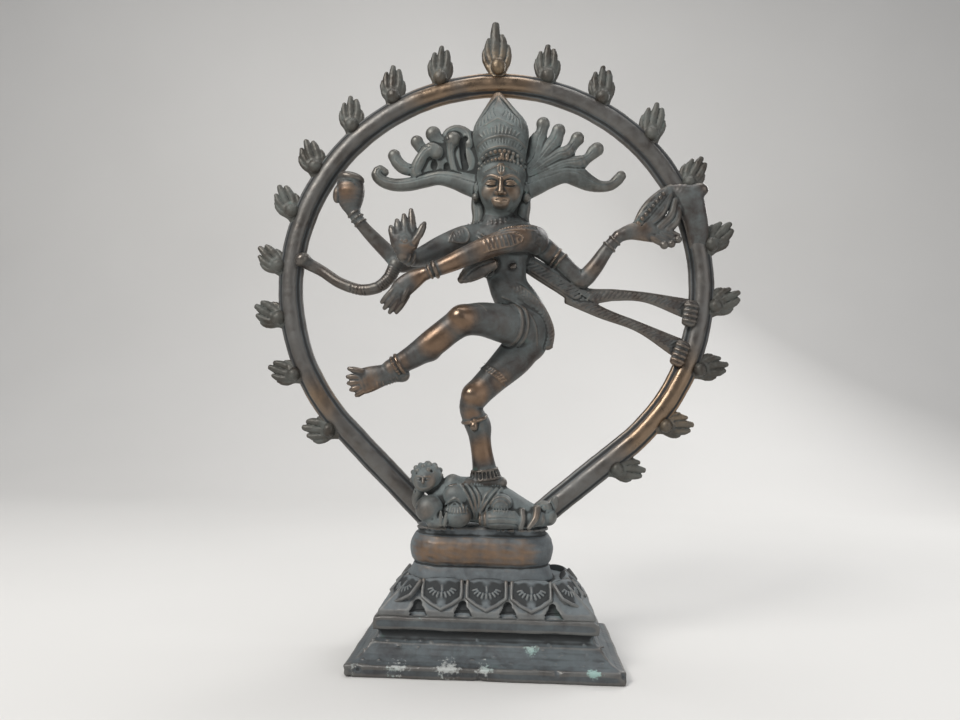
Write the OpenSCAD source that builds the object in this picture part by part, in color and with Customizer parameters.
// Dancing figure in a ring of flames, on a lotus seat and a stepped plinth.
// Origin: bottom centre of the plinth, +Z up, the figure faces -Y.

/* [Plinth] */
// Width of the plinth at its foot
plinth_w = 78; // [66:0.5:94]
// Depth of the plinth at its foot
plinth_d = 50; // [43:0.5:60]
// Height of the plinth
plinth_h = 15; // [12.5:0.5:18]
// Height of the upright band at the foot
foot_band_h = 3.2; // [2.4:0.2:4]
// Wall of the hollow plinth casting
wall = 2.4; // [2:0.1:2.9]

/* [Lotus and seat] */
// Height of the lotus block
lotus_h = 8.2; // [6.8:0.2:9.8]
// How far each end of the lotus block leans in over its height
lotus_run = 7.4; // [6:0.2:9]
// Height of the seat's lower roll
roll_h = 4.8; // [4:0.2:5.8]
// Height of the seat cushion
cushion_h = 11.5; // [9.6:0.1:13.8]
// Width of the seat cushion
seat_w = 44; // [40:0.5:48]
// Depth of the seat cushion
seat_d = 23; // [20:0.5:27]
// How far the seat sits to the left of the plinth's middle
seat_shift = 2.2; // [0:0.1:3]

/* [Ring] */
// Outer radius of the ring, which also sets the figure's size
ring_r = 70; // [58:0.5:84]
// Radial width of the ring
ring_w = 8; // [6.6:0.1:9.6]
// Thickness of the ring's flat flange
flange_t = 2.6; // [2.2:0.1:3.2]
// Radius of the ridge on the ring's front and back
ridge_r = 2.9; // [2.4:0.1:3.2]
// Distance of the ring's middle plane behind the plinth's middle
ring_y = 3; // [2:0.5:4]
// Height of the ring's centre over the seat, as a share of the outer radius
ring_drop_share = 1.07; // [1.05:0.01:1.1]

/* [Flames] */
// Length of a side flame
flame_len = 10.5; // [8.5:0.5:13]
// Length of the top flame
top_flame_len = 18.5; // [15:0.5:22.5]
// Angle from the top flame down to the lowest one on the left
left_span = 134.5; // [130:0.5:137]
// Angle from the top flame down to the lowest one on the right
right_span = 147.5; // [143:0.5:150]

/* [Fits] */
// Gap round each tenon in its socket
tenon_gap = 0.05; // [0.02:0.01:0.1]
// Diameter of the tenons at the ring's feet
tenon_d = 2.6; // [2.2:0.1:3]
// Length of the tenons
tenon_len = 5; // [4:0.5:6]

/* [Hidden] */
SIDES = 14;
FINGER_SIDES = 8;
SIDE_FLAMES = 9;
big = 400;

// Heights of the stacked pieces
lotus_z = plinth_h;
roll_z = lotus_z + lotus_h;
cushion_z = roll_z + roll_h;
seat_top = cushion_z + cushion_h;
ring_cz = seat_top + ring_drop_share * ring_r;

// The figure is drawn round the ring's centre for a ring of this radius
nominal_ring_r = 70;
fig = ring_r / nominal_ring_r;
seat_top_z = (seat_top - ring_cz) / fig;
stand_z = seat_top_z + 11;

// Insets of the plinth's mouldings
neck_inset = 8.6;
band_inset = 7.2;
neck_z = plinth_h - 6.2;
band_z = plinth_h - 3.8;
lotus_w = plinth_w - 2 * band_inset - 0.8;
lotus_d = plinth_d - 2 * band_inset - 0.8;
lotus_run_d = lotus_run * 0.7;
lotus_top_w = lotus_w - 2 * lotus_run;
lotus_top_d = lotus_d - 2 * lotus_run_d;

// Sockets and tenons
block_tenon_w = 30;
block_tenon_d = 10;
block_tenon_h = wall;
peg_d = 2;
peg_len = 3;
leg_step = 0.05;
leg_root = 0.2;

// Feet of the ring: outer corners on the seat, seen from the ring's centre
foot_spread = seat_w / 2 - 0.4;
foot_drop = ring_cz - seat_top;
right_foot = [foot_spread - seat_shift, -foot_drop];
left_foot = [-foot_spread - seat_shift, -foot_drop];
right_tangent = atan2(right_foot[1], right_foot[0]) + acos(ring_r / norm(right_foot));
left_tangent = atan2(left_foot[1], left_foot[0]) + 360 - acos(ring_r / norm(left_foot));
ring_mid = ring_r - ring_w / 2;
ring_inner = ring_r - ring_w;

// ---- Paths: [x, y, z, half width, half depth] from the ring's centre ----

function on_ring(angle, y, half_w, half_d) =
    [ring_mid / fig * cos(angle), y, ring_mid / fig * sin(angle), half_w, half_d];

TORSO = [
    [11.5, -2, -19.5, 5.4, 5], [11.5, -2, -14, 7, 6], [8.5, -2.5, -8, 7, 5.6],
    [5, -3, -1.5, 6.2, 4.8], [3.5, -3, 5, 7.2, 5.2], [2.5, -3, 11.5, 9.5, 5.8],
    [2, -3, 15.5, 10.8, 5.2], [1.5, -3.2, 18, 7, 4.2], [1.2, -3.6, 19.8, 3.6, 3.4]];
HEAD = [
    [1.2, -3.6, 19.8, 3.6, 3.4], [1.5, -4.2, 22.6, 3.4, 3.6], [2, -5.6, 24.4, 5, 4.6],
    [2.2, -5.6, 28, 6.6, 6], [2.2, -5.2, 33, 7.3, 6.8], [2, -4.8, 38, 7.4, 6.6],
    [1.8, -4.5, 41, 7.4, 6.2]];
CROWN = [
    [1.8, -4.5, 41, 7.8, 6.6], [1.6, -4.2, 43, 8.4, 6.4], [1.4, -3.6, 47, 9, 5.8],
    [1.1, -2.6, 51, 8, 5], [0.7, -0.8, 56, 6, 3.8], [0.3, 1, 60.5, 4.8, 3],
    [0, ring_y / fig, ring_mid / fig, 4, 2.4]];
DRUM_ARM = [
    [-4, -1, 14, 4, 3.6], [-10, -0.5, 13, 3.6, 3.2], [-22, 0.5, 8.5, 2.9, 2.7],
    [-29.5, -0.5, 6.8, 2.7, 2.5], [-34.5, -1, 10.5, 2.5, 2.3], [-42, -2.5, 17.8, 2, 1.9],
    [-45, -3, 22, 2.4, 2.1], [-46.6, -3.2, 26, 3.6, 2.8], [-46.8, -3.2, 30, 3, 2.4]];
FLAME_ARM = [
    [5, -1.5, 13.5, 4.2, 3.8], [13.5, -0.5, 12.6, 3.9, 3.4], [20, 0, 8, 3.3, 3],
    [27.5, -0.5, 1.8, 2.9, 2.7], [31.4, -1.2, 5.4, 2.6, 2.5], [35.5, -2, 11.5, 2, 2],
    [38.8, -2.5, 14.9, 1.9, 1.8], [42.5, -3, 16.4, 2.8, 1.9], [47, -3, 17, 3.8, 1.8],
    [51.5, -2.6, 16.4, 3.2, 1.6], [55, -2.2, 15.4, 2, 1.2]];
BLESSING_ARM = [
    [-3, -3.5, 14, 4.4, 3.6], [-9, -4.2, 13.4, 4.4, 3.8], [-16, -5.8, 10.4, 3.9, 3.6],
    [-20.5, -8, 7.6, 3.3, 3.3], [-24, -11.2, 5.6, 2.5, 2.7], [-26.8, -13.8, 5.6, 2, 2.2],
    [-26.9, -15, 8, 2.6, 1.8], [-26.2, -15.4, 11.5, 3.6, 1.7], [-26, -15.2, 14.2, 3.2, 1.4]];
CROSSING_ARM = [
    [12, -3.5, 13.2, 4.2, 4], [8, -9, 12.6, 4, 3.9], [2, -13, 10.4, 3.6, 3.6],
    [-6, -15, 6.6, 3.2, 3.3], [-13, -15.5, 3.2, 2.7, 2.8], [-19.5, -15.6, 0.4, 2.1, 2.1],
    [-22.4, -15.7, -1, 2.6, 1.9], [-26, -15.7, -3.6, 3.2, 1.8], [-28.2, -15.5, -6.2, 2.8, 1.4]];
RAISED_LEG = [
    [11, -4, -14.5, 6.4, 5.6], [5, -9, -14, 6.2, 5.6], [-2.5, -13.4, -13.2, 5.4, 5.2],
    [-8.4, -16, -13.8, 4.6, 4.6], [-13.4, -16.3, -17.6, 4.3, 4.3], [-20, -16, -22.4, 3.7, 3.8],
    [-26, -15.4, -26, 2.7, 2.8], [-29, -15.2, -27.8, 2.5, 2.6]];
RAISED_FOOT = [
    [-24, -12.6, -29.6, 1.8, 2], [-27.6, -14.8, -29.8, 2.7, 2.5], [-32, -16, -31.2, 3, 2.2],
    [-36.4, -16.8, -33, 3.3, 1.7], [-40, -17.2, -34.4, 2.8, 1]];
STANDING_LEG = [
    [11.5, -2.5, -17, 6, 5.4], [7, -3.8, -23.5, 5.8, 5.3], [0.6, -6.4, -30.2, 4.8, 4.7],
    [-4.6, -8, -36, 4.1, 4.3], [-5.6, -7.6, -39.8, 3.8, 4], [-4.2, -6.8, -45, 3.5, 3.6],
    [-2.3, -6, -51, 3.1, 3.1], [-1, -5.4, -57, 2.7, 2.7], [-0.4, -5.2, -60.4, 2.9, 2.9]];
COBRA = [
    [-31, -2, 5.5, 2.3, 2.1], [-33, -2.2, 0.6, 2.2, 2], [-36.4, -2.2, -2, 2, 1.9],
    [-42, -1.8, -2.9, 1.9, 1.8], [-49, -0.8, -0.4, 1.9, 1.7], [-56, 1, 4, 2, 1.8],
    on_ring(173, ring_y / fig, 2.4, 1.6)];
SASH_UPPER = [
    [9, -1, 7.5, 2.8, 1.6], [20, -0.8, 0.8, 3.2, 1.4], [28, 0, -3.6, 3.2, 1.3],
    [38.5, 0.8, -3.2, 2, 1.1], [48.3, 1.6, -3.7, 1.9, 1.1],
    on_ring(-5.8, ring_y / fig, 1.9, 1.1)];
SASH_LOWER = [
    [26, 0, -5.4, 3, 1.2], [34, 0.4, -8.6, 2.2, 1.1], [46, 1.4, -13.2, 1.9, 1.1],
    on_ring(-17.6, ring_y / fig, 1.9, 1.1)];
KNOT = [
    [-9.4, -9, -1, 1.8, 1.2], [-7, -9, 0.8, 3.4, 2], [-3, -8.6, 3.4, 3.6, 2.2],
    [0.6, -8, 5.6, 2, 1.6]];
GIRDLE = [
    [5, -6.5, -2.4, 2, 1.8], [10.5, -6.8, -4.6, 2.2, 2], [14.8, -6.4, -9, 2.3, 2],
    [17, -5.4, -14.4, 2.3, 2], [16.6, -4.8, -19.4, 1.8, 1.6]];
HAIR_SPINE = [
    [[-5, -2, 33.6, 4.2, 2.2], [-13, -1.4, 33.4, 3.6, 2], [-23, -1, 31, 2.7, 1.8],
        [-32, -1, 30.2, 2.2, 1.6], [-37.4, -1, 32.6, 1.8, 1.4], [-39, -1, 35, 1.3, 1.2]],
    [[9, -2, 33.6, 4.2, 2.2], [17, -1.4, 33.6, 3.6, 2], [25, -1, 31.6, 2.7, 1.8],
        [33, -1, 31.2, 2.2, 1.6], [39, -1, 32.6, 1.8, 1.4], [41, -1, 34.4, 1.3, 1.2]]];
// Each fan's web of locks: outline corners as [x, z], and knobs as [x, z, radius]
LEFT_WEB = [[-6, 36], [-6, 45], [-9, 46.4], [-12, 44], [-16.5, 47.4], [-19.5, 44.6],
    [-23.5, 44.6], [-25, 40], [-29, 41], [-30.5, 37.6], [-28, 31.6], [-14, 34]];
LEFT_KNOBS = [[-13, 47.8, 1.9], [-19, 47.6, 1.9], [-25, 44.4, 2], [-31, 40, 2.1]];
RIGHT_WEB = [[9, 37], [10, 44.5], [12.6, 48.5], [15.2, 48.4], [15.2, 44.6], [20.6, 46.8],
    [21.4, 43.8], [26.8, 44.6], [27, 41.2], [32.4, 41], [31.6, 37.4], [26, 33.4]];
RIGHT_KNOBS = [[14.4, 50.2, 1.9], [20.8, 48.6, 1.9], [27, 45.2, 2], [33, 41.4, 2.1]];

// Dwarf under the standing foot
DWARF_TORSO = [
    [-17, -6.4, seat_top_z + 6, 3, 4.6], [-12.4, -5.6, seat_top_z + 7.4, 6.4, 5.6],
    [-5, -4.6, seat_top_z + 7, 8, 6.6], [2, -4.6, seat_top_z + 7, 8, 6.6],
    [8, -5.4, seat_top_z + 5, 6, 5.4], [14, -6, seat_top_z + 3.6, 4.4, 4.8],
    [18.6, -6, seat_top_z + 3, 2.6, 3.2]];
DWARF_HEAD = [
    [-15, -6.8, seat_top_z + 10.4, 2, 2.2], [-16.4, -7, seat_top_z + 11.6, 3.6, 3.6],
    [-18.4, -7.4, seat_top_z + 13.6, 4.4, 4.4], [-20.2, -7.8, seat_top_z + 15.6, 3.8, 3.8],
    [-21.4, -8, seat_top_z + 17, 2, 2]];
DWARF_ARM = [
    [-16.4, -8, seat_top_z + 7.6, 2.6, 2.4], [-18.6, -9, seat_top_z + 5, 3.2, 2.8],
    [-17, -10.4, seat_top_z + 3, 2.8, 2.4], [-13, -11.4, seat_top_z + 2.4, 1.8, 1.6]];
DWARF_LEG = [
    [2, -9.6, seat_top_z + 4, 2.6, 2.4], [6, -10, seat_top_z + 3.4, 2.8, 2.6],
    [11, -10, seat_top_z + 2.8, 2.2, 2.4], [14.6, -10.4, seat_top_z + 2.4, 1.6, 2]];

// ---- Lofting ----

function spot(s) = [s[0] * fig, s[1] * fig, ring_cz + s[2] * fig];
function unit(v) = v / norm(v);
function heading(path, i) =
    let (ahead = spot(path[min(i + 1, len(path) - 1)]), behind = spot(path[max(i - 1, 0)]))
    unit(ahead - behind);
function ring_of(path, i, sides, proud) =
    let (
        s = path[i],
        t = heading(path, i),
        deep = unit([0, 1, 0] - (t * [0, 1, 0]) * t),
        wide = cross(deep, t))
    [for (k = [0 : sides - 1])
        let (a = (k + 0.5) * 360 / sides)
        spot(s) + wide * (s[3] + proud) * fig * cos(a) + deep * (s[4] + proud) * fig * sin(a)];

// A round limb through stations first to last of a path, with flat ends
module limb(path, first, last, sides = SIDES, proud = 0) {
    rings = last - first + 1;
    points = [for (i = [first : last]) each ring_of(path, i, sides, proud)];
    start_cap = [[for (k = [0 : sides - 1]) k]];
    end_cap = [[for (k = [sides - 1 : -1 : 0]) (rings - 1) * sides + k]];
    walls = [for (r = [0 : rings - 2]) for (k = [0 : sides - 1])
        let (n = (k + 1) % sides, low = r * sides, high = low + sides)
        each [[low + k, high + k, low + n], [low + n, high + k, high + n]]];
    polyhedron(points = points, faces = concat(start_cap, end_cap, walls), convexity = 4);
}

// The station at a fractional place along a path, for bands that go round a limb
function between(path, t) =
    let (i = min(floor(t), len(path) - 2), f = t - i)
    path[i] * (1 - f) + path[i + 1] * f;

// A band round a limb, resting on it
module band(path, t, length, proud) {
    half = length / 2 / norm(spot(path[ceil(t)]) - spot(path[ceil(t) - 1])) * fig;
    sleeve = [for (s = [t - half, t + half]) between(path, s)];
    difference() {
        limb(sleeve, 0, 1, proud = proud);
        limb(path, 0, len(path) - 1);
    }
}

module finger(root, tip, thick) {
    middle = (root + tip) / 2;
    path = [[each root, thick, thick], [each middle, thick * 0.95, thick * 0.95],
        [each tip, thick * 0.6, thick * 0.6]];
    limb(path, 0, 2, sides = FINGER_SIDES);
}

// Material to remove where a piece would run into the ring or outside it
module inside_ring() {
    intersection() {
        children();
        ring_frame() cylinder(r = ring_inner, h = big, center = true, $fn = 180);
    }
}

module ring_frame() {
    translate([0, ring_y, ring_cz]) rotate([90, 0, 0]) children();
}

module slab(outline, y, thick) {
    translate([0, (y + thick / 2) * fig, ring_cz]) rotate([90, 0, 0])
        linear_extrude(height = thick * fig) polygon([for (p = outline) p * fig]);
}

// ---- Plinth, lotus and seat ----

// Half outline of a moulding, mirrored to a full section of the given width
module section(width, rows) {
    right = [for (r = rows) [width / 2 - r[0], r[1]]];
    left = [for (i = [len(rows) - 1 : -1 : 0]) [rows[i][0] - width / 2, rows[i][1]]];
    polygon(concat(right, left));
}

// A block with mitred mouldings: the same rows on all four sides
module mitred(width, depth, rows) {
    intersection() {
        rotate([90, 0, 0]) linear_extrude(height = big, center = true) section(width, rows);
        rotate([90, 0, 90]) linear_extrude(height = big, center = true) section(depth, rows);
    }
}

function cavetto(n) = [for (i = [0 : n])
    let (a = 90 * i / n)
    [neck_inset - (neck_inset - 1.6) * (1 - sin(a)), neck_z - (neck_z - foot_band_h - 0.8) * cos(a)]];

plinth_rows = concat(
    [[0.4, 0], [0, 0.4], [0, foot_band_h], [1.6, foot_band_h]],
    cavetto(6),
    [[neck_inset, band_z], [band_inset, band_z + 0.6], [band_inset, plinth_h]]);

module plinth() {
    hollow_top = plinth_h - wall;
    hollow = [[wall, -1], [wall, foot_band_h - 0.4], [neck_inset + wall, neck_z - 1],
        [neck_inset + wall, hollow_top]];
    color("dimgray") difference() {
        mitred(plinth_w, plinth_d, plinth_rows);
        mitred(plinth_w, plinth_d, hollow);
        translate([0, 0, plinth_h - wall / 2])
            cube([block_tenon_w + 2 * tenon_gap, block_tenon_d + 2 * tenon_gap, wall * 2],
                center = true);
    }
}

module lotus_core() {
    translate([0, 0, lotus_z]) intersection() {
        rotate([90, 0, 0]) linear_extrude(height = big, center = true)
            section(lotus_w, [[0, 0], [0.4, 1.6], [lotus_run, lotus_h]]);
        rotate([90, 0, 90]) linear_extrude(height = big, center = true)
            section(lotus_d, [[0, 0], [0.4, 1.6], [lotus_run_d, lotus_h]]);
    }
}

module lotus_block() {
    color("dimgray") union() {
        lotus_core();
        translate([0, 0, lotus_z - block_tenon_h / 2 + 0.5])
            cube([block_tenon_w, block_tenon_d, block_tenon_h + 1], center = true);
    }
}

// One hanging petal: top edge at height lotus_h, tip near the band
module petal(width) {
    drop = lotus_h - 1;
    outline = [[-width / 2, 0], [width / 2, 0], [width / 2, -drop * 0.42],
        [width * 0.3, -drop * 0.78], [0, -drop], [-width * 0.3, -drop * 0.78],
        [-width / 2, -drop * 0.42]];
    rotate([90, 0, 0]) linear_extrude(height = 4, center = true) polygon(outline);
}

module lotus_petals() {
    petal_pitch = lotus_top_w * 0.27;
    front_w = lotus_top_w * 0.23;
    end_w = lotus_top_d * 0.45;
    corner_w = lotus_top_d * 0.32;
    top = roll_z - 0.4;
    color("dimgray") difference() {
        intersection() {
            union() {
                for (side = [0, 180]) rotate([0, 0, side]) for (i = [-1 : 1])
                    translate([i * petal_pitch, -lotus_top_d / 2, top])
                        rotate([-atan2(lotus_run_d, lotus_h), 0, 0]) petal(front_w);
                for (side = [90, -90]) rotate([0, 0, side])
                    translate([0, -lotus_top_w / 2, top])
                        rotate([-atan2(lotus_run, lotus_h), 0, 0]) petal(end_w);
                for (sx = [-1, 1], sy = [-1, 1])
                    translate([sx * (lotus_top_w / 2 - 1.4), sy * (lotus_top_d / 2 - 1.4), top])
                        rotate([0, 0, atan2(sy, sx) + 90])
                        rotate([-atan2(norm([lotus_run, lotus_run_d]), lotus_h), 0, 0])
                        petal(corner_w);
            }
            translate([0, 0, lotus_z + lotus_h / 2])
                cube([lotus_w + 0.6, lotus_d + 0.6, lotus_h], center = true);
        }
        lotus_core();
    }
}

// A long pad with round ends and a bulging edge
module pad(width, depth, height, bulge) {
    edge = [for (i = [0 : 8]) let (a = -90 + 180 * i / 8)
        [depth / 2 - bulge + bulge * cos(a), height / 2 + height / 2 * sin(a)]];
    half = concat([[0, 0]], edge, [[0, height]]);
    straight = width / 2 - depth / 2;
    full = concat(edge, [for (i = [8 : -1 : 0]) [-edge[i][0], edge[i][1]]]);
    union() {
        for (s = [-1, 1]) translate([s * straight, 0, 0])
            rotate([0, 0, s * 90 - 90]) rotate([0, 0, -90])
            rotate_extrude(angle = 180, $fn = 96) polygon(half);
        rotate([90, 0, 90]) linear_extrude(height = 2 * straight, center = true) polygon(full);
    }
}

module seat_roll() {
    color("dimgray") translate([-seat_shift, 0, roll_z]) pad(seat_w + 0.4, seat_d, roll_h, 1.6);
}

// Place of each ring tenon: under the middle of the leg's slanting cut on the seat
function tenon_x(side) =
    let (foot = side > 0 ? right_foot : left_foot, tangent = side > 0 ? right_tangent : left_tangent)
    foot[0] - side * ring_w / 2 / abs(cos(tangent));

module seat_cushion() {
    color("sienna") difference() {
        translate([-seat_shift, 0, cushion_z]) pad(seat_w, seat_d, cushion_h, 4.2);
        for (side = [-1, 1])
            translate([tenon_x(side), ring_y, seat_top - tenon_len - tenon_gap])
                cylinder(d = tenon_d + 2 * tenon_gap, h = tenon_len + 1, $fn = 48);
    }
}

// ---- Ring and flames ----

module ring_section(less = 0) {
    translate([ring_inner + less, less - flange_t / 2])
        square([ring_w - 2 * less, flange_t - 2 * less]);
    translate([ring_mid, 0]) circle(r = ridge_r - less, $fn = 64);
}

// A straight leg on from the arc's end: direction 1 past the left end, -1 before the right.
// It is a hair slimmer than the arc and starts just inside it.
module ring_leg(tangent, direction) {
    foot = direction > 0 ? left_foot : right_foot;
    length = sqrt(pow(norm(foot), 2) - ring_r * ring_r) + 2 * ring_w;
    start = direction > 0 ? length : leg_root;
    rotate([0, 0, tangent]) translate([0, start, 0]) rotate([90, 0, 0])
        linear_extrude(height = length + leg_root) ring_section(leg_step);
}

module ring_hoop() {
    color("darkslategray") union() {
        difference() {
            ring_frame() union() {
                rotate([0, 0, right_tangent])
                    rotate_extrude(angle = left_tangent - right_tangent, $fn = 240) ring_section();
                ring_leg(right_tangent, -1);
                ring_leg(left_tangent, 1);
            }
            translate([0, 0, seat_top - big / 2]) cube(big, center = true);
        }
        for (side = [-1, 1]) translate([tenon_x(side), ring_y, seat_top - tenon_len])
            cylinder(d = tenon_d, h = tenon_len + 1, $fn = 48);
    }
}

// A tongue of flame: a spindle along +Y from the origin
module tongue(length, thick) {
    spindle = [[0, 0], [thick * 0.7, 0], [thick, length * 0.35], [thick * 0.8, length * 0.65],
        [thick * 0.3, length * 0.92], [0, length]];
    rotate([-90, 0, 0]) rotate_extrude($fn = 32) polygon(spindle);
}

module flame(angle, length, lean) {
    past = max(right_tangent - angle, angle - left_tangent, 0);
    root_r = ring_r / cos(past);
    thick = length * 0.14;
    color("dimgray") difference() {
        ring_frame() rotate([0, 0, angle - 90]) translate([0, root_r - 1.5, 0])
            rotate([0, 0, lean]) union() {
                tongue(length + 1.5, thick);
                rotate([0, 0, 17]) tongue(length * 0.86 + 1.5, thick * 0.9);
                rotate([0, 0, -17]) tongue(length * 0.86 + 1.5, thick * 0.9);
                translate([0, 3.4, thick * 0.5]) sphere(r = length * 0.2, $fn = 32);
            }
        ring_frame() rotate([0, 0, past > 0 ? angle : 0]) cylinder(r = root_r, h = 20,
            center = true, $fn = 240);
    }
}

// Uneven steps of the flames set by hand, as shares of each side's span
LEFT_STEPS = [0.12, 0.224, 0.324, 0.432, 0.532, 0.646, 0.752, 0.87, 1];
RIGHT_STEPS = [0.096, 0.205, 0.315, 0.424, 0.542, 0.654, 0.77, 0.886, 1];

function flame_angle(i) = i == 0 ? 90
    : i <= SIDE_FLAMES ? 90 + LEFT_STEPS[i - 1] * left_span
    : 90 - RIGHT_STEPS[i - SIDE_FLAMES - 1] * right_span;

// Every side flame leans up from its root: those near the top stand upright
function flame_lean(i) =
    let (from_top = 90 - flame_angle(i), steep = abs(from_top))
    sign(from_top) * min(steep, 38 + 0.5 * max(steep - 110, 0));
function flame_name(i) = str("flame_", i < 9 ? "0" : "", i + 1);

module flame_number(i) {
    flame(flame_angle(i), i == 0 ? top_flame_len : flame_len, flame_lean(i));
}

// The lump that joins the flame in the hand to the ring, kept within the ring's width
module hand_boss() {
    color("darkslategray") intersection() {
        difference() {
            slab([[56, 22], [63, 21], [66.6, 28], [66, 33], [60.6, 35.4], [54, 30.6]], -0.6, 3.2);
            ring_frame() rotate_extrude($fn = 240) ring_section();
            ring_frame() cylinder(r = ring_inner, h = big, center = true, $fn = 180);
        }
        ring_frame() cylinder(r = ring_r - 0.05, h = big, center = true, $fn = 240);
    }
}

// ---- Figure ----

module torso() { color("dimgray") limb(TORSO, 0, 8); }

module head() {
    color("saddlebrown") difference() {
        limb(HEAD, 0, 6);
        limb(TORSO, 0, 8);
    }
}

module neck_ornaments() {
    color("dimgray") difference() {
        band(TORSO, 7.2, 1.6, 0.8);
        limb(BLESSING_ARM, 0, 5);
        limb(DRUM_ARM, 0, 5);
    }
}

module crown() {
    color("dimgray") difference() {
        inside_ring() limb(CROWN, 0, 6);
        limb(HEAD, 0, 6);
    }
}

module hair_fan(spine, web, knobs) {
    color("dimgray") difference() {
        union() {
            limb(spine, 0, 5);
            slab(web, -1.2, 2);
            for (k = knobs) translate([k[0] * fig, -1.2 * fig, ring_cz + k[1] * fig])
                sphere(r = k[2] * fig, $fn = 24);
        }
        limb(HEAD, 0, 6);
        limb(CROWN, 0, 6);
    }
}

module hair_fan_left() { hair_fan(HAIR_SPINE[0], LEFT_WEB, LEFT_KNOBS); }

module hair_fan_right() { hair_fan(HAIR_SPINE[1], RIGHT_WEB, RIGHT_KNOBS); }

module blessing_arm() {
    color("dimgray") difference() {
        limb(BLESSING_ARM, 0, 5);
        limb(TORSO, 0, 8);
    }
}

module drum_arm() {
    color("dimgray") difference() {
        limb(DRUM_ARM, 0, 5);
        limb(TORSO, 0, 8);
        limb(BLESSING_ARM, 0, 5);
    }
}

module drum_solid() {
    outline = [[0, -6], [4, -6], [4, -5], [2.2, 0], [4, 5], [4, 6], [0, 6]];
    translate(spot([-48.2, -3.2, 30.4])) rotate([0, 70, 0]) scale(fig)
        rotate_extrude($fn = 48) polygon(outline);
}

module drum() { color("saddlebrown") inside_ring() drum_solid(); }

module drum_hand() {
    color("saddlebrown") difference() {
        limb(DRUM_ARM, 5, 8);
        drum_solid();
    }
}

module flame_arm() {
    color("dimgray") difference() {
        limb(FLAME_ARM, 0, 6);
        limb(TORSO, 0, 8);
    }
}

module flame_hand() { color("saddlebrown") limb(FLAME_ARM, 6, 10); }

module hand_flame() {
    color("dimgray") difference() {
        inside_ring() slab([[44.6, 17], [53, 16], [58.6, 20.6], [60, 28], [56, 33], [50.6, 27]],
            -0.4, 5);
        limb(FLAME_ARM, 6, 10);
    }
}

module blessing_hand() {
    color("dimgray") union() {
        limb(BLESSING_ARM, 5, 8);
        finger([-24, -15.2, 13.4], [-24.6, -14.6, 20.4], 1.15);
        finger([-26.6, -15.2, 13.8], [-27.2, -14.6, 19.2], 1.1);
        finger([-28.6, -15, 12.6], [-29.6, -14.6, 17.2], 1);
        finger([-24, -15.6, 10.4], [-20.2, -15.4, 16.4], 1.2);
    }
}

module crossing_arm() {
    color("saddlebrown") difference() {
        limb(CROSSING_ARM, 0, 5);
        limb(TORSO, 0, 8);
        limb(FLAME_ARM, 0, 3);
    }
}

module crossing_hand() {
    color("saddlebrown") union() {
        limb(CROSSING_ARM, 5, 8);
        finger([-29.4, -15.6, -4.4], [-33.8, -15, -9.2], 1.1);
        finger([-28.2, -15.6, -6], [-31.8, -15, -12], 1.1);
        finger([-26.4, -15.4, -6.6], [-28.8, -15, -11.8], 1.1);
    }
}

module cobra() {
    color("dimgray") difference() {
        inside_ring() limb(COBRA, 0, 6);
        limb(DRUM_ARM, 0, 5);
    }
}

module sash_knot() {
    color("dimgray") difference() {
        limb(KNOT, 0, 3);
        limb(TORSO, 0, 8);
    }
}

module sash_upper_tail() {
    color("dimgray") difference() {
        inside_ring() limb(SASH_UPPER, 0, 5);
        limb(TORSO, 0, 8);
        limb(FLAME_ARM, 0, 6);
    }
}

module sash_lower_tail() {
    color("dimgray") difference() {
        inside_ring() limb(SASH_LOWER, 0, 3);
        limb(SASH_UPPER, 0, 5);
    }
}

module sash_clips() {
    clip = [3.6, 1.2, 6];
    color("dimgray") difference() {
        for (a = [-5.8, -17.6]) ring_frame() rotate([0, 0, a])
            translate([ring_mid, 0, ridge_r + 0.2]) rotate([90, 0, 0]) cube(clip, center = true);
        ring_frame() rotate_extrude($fn = 240) ring_section();
    }
}

module hip_girdle() {
    color("dimgray") difference() {
        limb(GIRDLE, 0, 4);
        limb(TORSO, 0, 8);
        limb(RAISED_LEG, 0, 3);
        limb(STANDING_LEG, 0, 3);
    }
}

module raised_thigh() {
    color("saddlebrown") difference() {
        limb(RAISED_LEG, 0, 3);
        limb(TORSO, 0, 8);
    }
}

module raised_shin() { color("saddlebrown") limb(RAISED_LEG, 3, 7); }

module raised_foot() {
    color("saddlebrown") difference() {
        limb(RAISED_FOOT, 0, 4);
        limb(RAISED_LEG, 3, 7);
    }
}

module standing_thigh() {
    color("dimgray") difference() {
        limb(STANDING_LEG, 0, 3);
        limb(TORSO, 0, 8);
        limb(RAISED_LEG, 0, 3);
    }
}

module standing_shin() { color("dimgray") limb(STANDING_LEG, 3, 8); }

// The foot stands flat on the dwarf's back, with a peg down into it
STANDING_FOOT = [
    [5, -5, stand_z + 1.8, 1.6, 2.2], [1.6, -5.2, stand_z + 2.4, 2.4, 2.8],
    [-2, -5.4, stand_z + 2.4, 2.6, 3], [-7, -6, stand_z + 1.6, 1.8, 3.1],
    [-12, -6.8, stand_z + 0.9, 1, 2.8]];

module standing_foot() {
    color("dimgray") union() {
        difference() {
            limb(STANDING_FOOT, 0, 4);
            limb(STANDING_LEG, 3, 8);
            translate([0, 0, ring_cz + stand_z * fig - big / 2]) cube(big, center = true);
        }
        peg();
    }
}

module peg(gap = 0) {
    translate(spot([-1, -5.4, stand_z]) - [0, 0, peg_len + gap])
        cylinder(d = peg_d + 2 * gap, h = peg_len + gap + (gap > 0 ? 1 : 0.8), $fn = 32);
}

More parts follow.
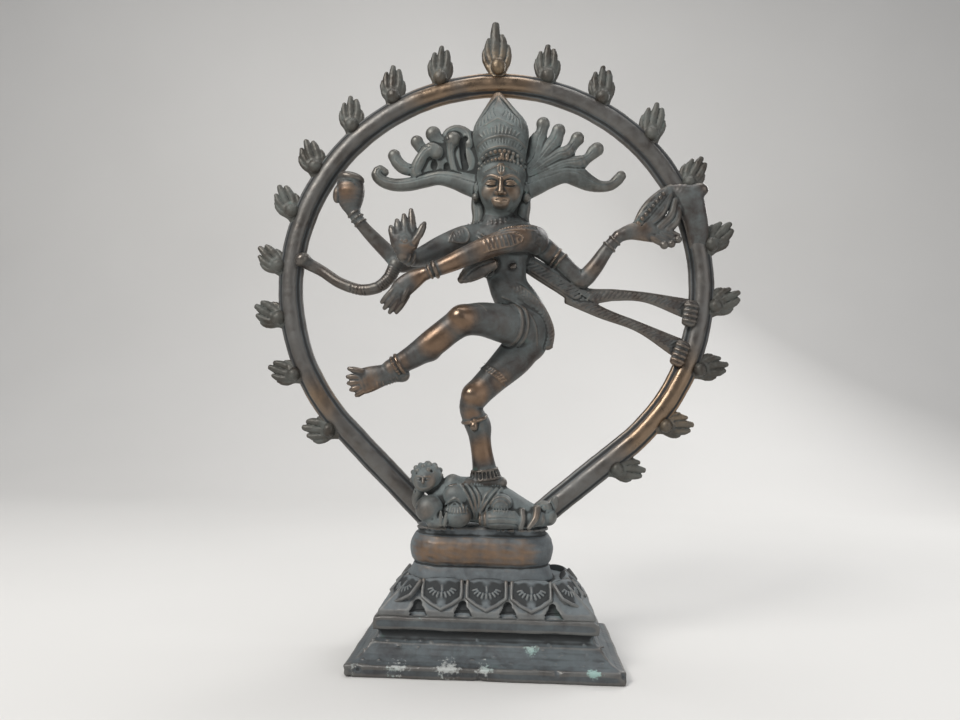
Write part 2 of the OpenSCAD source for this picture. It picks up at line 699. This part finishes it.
module wrist_bangles() {
    color("dimgray") {
        band(DRUM_ARM, 4.8, 1.6, 0.6);
        band(FLAME_ARM, 5.6, 2, 0.6);
        band(CROSSING_ARM, 4.6, 1, 0.6);
        band(CROSSING_ARM, 4.85, 1, 0.7);
    }
}

module leg_bands() {
    color("dimgray") {
        band(RAISED_LEG, 1.3, 2.6, 0.6);
        difference() {
            band(RAISED_LEG, 6.6, 1.2, 0.6);
            limb(RAISED_FOOT, 0, 4);
        }
        band(STANDING_LEG, 1.6, 1.4, 0.6);
        band(STANDING_LEG, 4.8, 1.4, 0.6);
        difference() {
            band(STANDING_LEG, 7.5, 2, 0.6);
            limb(STANDING_FOOT, 0, 4);
        }
    }
}

// ---- Dwarf ----

module above_seat() {
    difference() {
        children();
        translate([0, 0, seat_top - big / 2]) cube(big, center = true);
    }
}

module dwarf_torso() {
    color("dimgray") above_seat() difference() {
        limb(DWARF_TORSO, 0, 6);
        translate([0, 0, ring_cz + stand_z * fig + big / 2]) cube(big, center = true);
        peg(tenon_gap);
    }
}

module dwarf_head() {
    color("dimgray") difference() {
        limb(DWARF_HEAD, 0, 4);
        limb(DWARF_TORSO, 0, 6);
    }
}

module dwarf_arms() {
    color("saddlebrown") above_seat() difference() {
        limb(DWARF_ARM, 0, 3);
        limb(DWARF_TORSO, 0, 6);
    }
}

module dwarf_legs() {
    color("saddlebrown") above_seat() difference() {
        limb(DWARF_LEG, 0, 3);
        limb(DWARF_TORSO, 0, 6);
    }
}

// ---- Assembly ----

plinth();
lotus_block();
lotus_petals();
seat_roll();
seat_cushion();
ring_hoop();
hand_boss();
dwarf_torso();
dwarf_head();
dwarf_arms();
dwarf_legs();
torso();
head();
neck_ornaments();
crown();
hair_fan_left();
hair_fan_right();
drum_arm();
drum_hand();
drum();
flame_arm();
flame_hand();
hand_flame();
blessing_arm();
blessing_hand();
crossing_arm();
crossing_hand();
cobra();
sash_knot();
sash_upper_tail();
sash_lower_tail();
sash_clips();
hip_girdle();
raised_thigh();
raised_shin();
raised_foot();
standing_thigh();
standing_shin();
standing_foot();
wrist_bangles();
leg_bands();
for (i = [0 : 2 * SIDE_FLAMES])
    flame_number(i);
